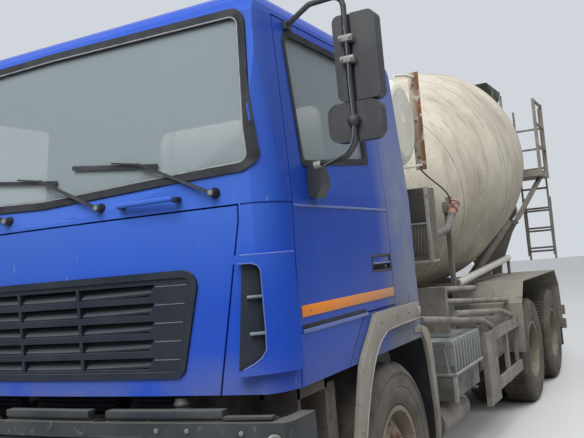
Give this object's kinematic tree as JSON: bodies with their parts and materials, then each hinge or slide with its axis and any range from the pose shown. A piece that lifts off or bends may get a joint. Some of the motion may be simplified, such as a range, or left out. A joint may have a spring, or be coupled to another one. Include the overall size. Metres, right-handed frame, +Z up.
{
  "type": "concrete mixer truck",
  "caption": "Tilting-cab concrete mixer truck with a revolving inclined drum, charging hopper, discharge chute, water tank and ladder platform on a twin-wheel tandem chassis.",
  "frame": {"origin": "on the ground under the middle of the truck's length and width", "axes": "+X forward, +Y to the truck's left, +Z up"},
  "size_m": [9.1099, 3.21, 3.87],
  "materials": {
    "cab_paint": "glossy cobalt blue with dust low down",
    "grille_plastic": "dark slate plastic",
    "bumper_plastic": "dark slate plastic, dusty",
    "glass": "clear",
    "lamp": "clear lens",
    "mirror_plastic": "black plastic",
    "frame_paint": "black paint under dust",
    "dusty_steel": "grey paint under brown dust",
    "battery_paint": "light blue grey",
    "cast": "oily cast iron",
    "tyre": "dusty rubber",
    "rim_paint": "silver paint under brown dust",
    "drum_paint": "cream, cement stained",
    "tank_paint": "pale cream",
    "rusty": "pale paint with rust",
    "hose": "dusty grey",
    "hopper_paint": "dark green-black, cement splashed",
    "chute_paint": "cement stained steel",
    "trim_interior": "grey-green plastic",
    "seat_cloth": "dark woven cloth"
  },
  "bodies": {
    "chassis": {"frame_rails": "frame_paint", "bumper": "bumper_plastic", "headlamps": "lamp", "front_axle": "cast", "rear_axles": "cast", "engine": "cast", "driveshafts": "cast", "fuel_tank": "dusty_steel", "air_tanks": "dusty_steel", "battery_box": "battery_paint", "side_guards": "dusty_steel", "handrails": "dusty_steel", "rear_fenders": "dusty_steel", "mudguards": "mirror_plastic", "air_cleaner": "battery_paint", "subframe": "frame_paint", "front_pedestal": "frame_paint", "rear_pedestal": "dusty_steel", "water_tank": "tank_paint", "tank_bracket": "rusty", "oil_cooler": "frame_paint", "hydraulic_hose": "hose", "platform": "dusty_steel", "hopper": "hopper_paint", "funnel": "chute_paint", "underrun": "dusty_steel"},
    "cab": {"cab_shell": "cab_paint", "cab_glass": "glass", "deflectors": "cab_paint", "cab_fenders": "dusty_steel", "dashboard": "trim_interior", "seats": "seat_cloth", "wipers": "mirror_plastic"},
    "hood": {"hood_panel": "cab_paint", "grille": "grille_plastic"},
    "door_left": {"door_left": "cab_paint", "door_glass_left": "glass", "mirrors_left": "mirror_plastic"},
    "door_right": {"door_right": "cab_paint", "door_glass_right": "glass", "mirrors_right": "mirror_plastic"},
    "knuckle_left": {"knuckle_left": "cast"},
    "knuckle_right": {"knuckle_right": "cast"},
    "wheel_front_left": {"tyre_front_left": "tyre", "rim_front_left": "rim_paint"},
    "wheel_front_right": {"tyre_front_right": "tyre", "rim_front_right": "rim_paint"},
    "wheels_mid_left": {"tyres_mid_left": "tyre", "rims_mid_left": "rim_paint"},
    "wheels_mid_right": {"tyres_mid_right": "tyre", "rims_mid_right": "rim_paint"},
    "wheels_rear_left": {"tyres_rear_left": "tyre", "rims_rear_left": "rim_paint"},
    "wheels_rear_right": {"tyres_rear_right": "tyre", "rims_rear_right": "rim_paint"},
    "drum": {"drum": "drum_paint"},
    "chute_turret": {"chute_turret": "frame_paint"},
    "chute": {"chute": "chute_paint"},
    "chute_extension": {"chute_extension": "chute_paint"}
  },
  "joints": [
    {"name": "cab_tilt", "type": "hinge", "parent": "chassis", "child": "cab", "pos_m": [4.405, 0, 0.8], "axis": [0, 1, 0], "range_deg": [0, 50]},
    {"name": "hood_open", "type": "hinge", "parent": "cab", "child": "hood", "pos_m": [4.453, 0, 1.962], "axis": [0, -1, 0], "range_deg": [0, 85]},
    {"name": "door_left_open", "type": "hinge", "parent": "cab", "child": "door_left", "pos_m": [4.26313, 1.199, 1.32], "axis": [0.0659, 0, -0.9978], "range_deg": [0, 70]},
    {"name": "door_right_open", "type": "hinge", "parent": "cab", "child": "door_right", "pos_m": [4.26313, -1.199, 1.32], "axis": [-0.0659, 0, 0.9978], "range_deg": [0, 70]},
    {"name": "steer_left", "type": "hinge", "parent": "chassis", "child": "knuckle_left", "pos_m": [3.145, 0.88, 0.538], "axis": [0, 0, 1], "range_deg": [-35, 35]},
    {"name": "steer_right", "type": "hinge", "parent": "chassis", "child": "knuckle_right", "pos_m": [3.145, -0.88, 0.538], "axis": [0, 0, 1], "range_deg": [-35, 35]},
    {"name": "spin_front_left", "type": "hinge", "parent": "knuckle_left", "child": "wheel_front_left", "pos_m": [3.145, 1.068, 0.538], "axis": [0, 1, 0], "continuous": true},
    {"name": "spin_front_right", "type": "hinge", "parent": "knuckle_right", "child": "wheel_front_right", "pos_m": [3.145, -1.068, 0.538], "axis": [0, 1, 0], "continuous": true},
    {"name": "spin_mid_left", "type": "hinge", "parent": "chassis", "child": "wheels_mid_left", "pos_m": [-1.135, 0.9, 0.538], "axis": [0, 1, 0], "continuous": true},
    {"name": "spin_mid_right", "type": "hinge", "parent": "chassis", "child": "wheels_mid_right", "pos_m": [-1.135, -0.9, 0.538], "axis": [0, 1, 0], "continuous": true},
    {"name": "spin_rear_left", "type": "hinge", "parent": "chassis", "child": "wheels_rear_left", "pos_m": [-2.545, 0.9, 0.538], "axis": [0, 1, 0], "continuous": true},
    {"name": "spin_rear_right", "type": "hinge", "parent": "chassis", "child": "wheels_rear_right", "pos_m": [-2.545, -0.9, 0.538], "axis": [0, 1, 0], "continuous": true},
    {"name": "drum_turn", "type": "hinge", "parent": "chassis", "child": "drum", "pos_m": [1.184, 0, 1.96], "axis": [-0.974, 0, 0.2267], "continuous": true},
    {"name": "chute_swing", "type": "hinge", "parent": "chassis", "child": "chute_turret", "pos_m": [-4.225, 0, 1.5], "axis": [0, 0, -1], "range_deg": [0, 125]},
    {"name": "chute_tilt", "type": "hinge", "parent": "chute_turret", "child": "chute", "pos_m": [-4.225, 0, 1.5], "axis": [1, 0, 0], "range_deg": [0, 30]},
    {"name": "chute_fold", "type": "hinge", "parent": "chute", "child": "chute_extension", "pos_m": [-4.225, -0.96, 1.799], "axis": [1, 0, 0], "range_deg": [0, 180]}
  ],
  "couplings": [
    {"joint": "steer_right", "follows": "steer_left", "ratio": 1}
  ]
}
